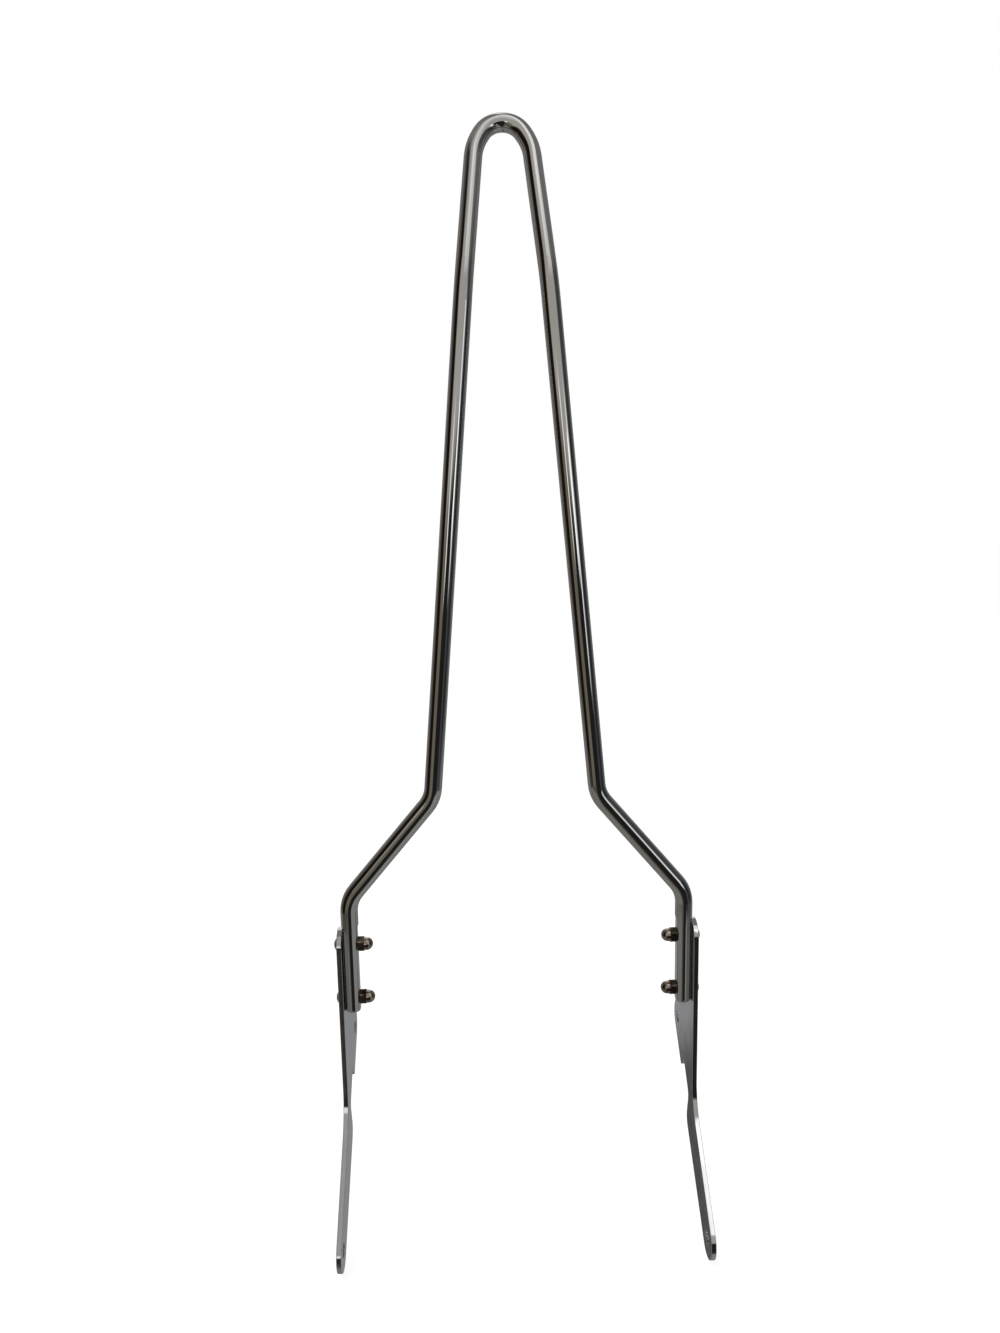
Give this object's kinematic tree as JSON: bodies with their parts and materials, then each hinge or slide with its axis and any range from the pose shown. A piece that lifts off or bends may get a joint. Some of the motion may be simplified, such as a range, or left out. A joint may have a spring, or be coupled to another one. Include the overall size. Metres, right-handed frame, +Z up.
{
  "type": "sissy bar",
  "caption": "Chrome motorcycle sissy bar: a round bar bent into a tall narrow loop with a kicked-back top, bolted between two flat side plates with strut holes",
  "frame": {"origin": "on the common axis of the two rear strut holes, midway between the side plates", "axes": "X across the seat with the right side at +X, Y to the rear, Z up along the lower legs"},
  "size_m": [0.2676, 0.1358, 0.7876],
  "materials": {
    "chrome": "polished",
    "plate_chrome": "polished",
    "bolt_chrome": "polished",
    "nut_nickel": "polished"
  },
  "bodies": {
    "root": {"bar": "chrome", "side_plate_right": "plate_chrome", "side_plate_left": "plate_chrome", "clamp_bolt_right_upper": "bolt_chrome", "clamp_bolt_right_lower": "bolt_chrome", "clamp_bolt_left_upper": "bolt_chrome", "clamp_bolt_left_lower": "bolt_chrome", "cap_nut_right_upper": "nut_nickel", "cap_nut_right_lower": "nut_nickel", "cap_nut_left_upper": "nut_nickel", "cap_nut_left_lower": "nut_nickel"}
  },
  "joints": []
}
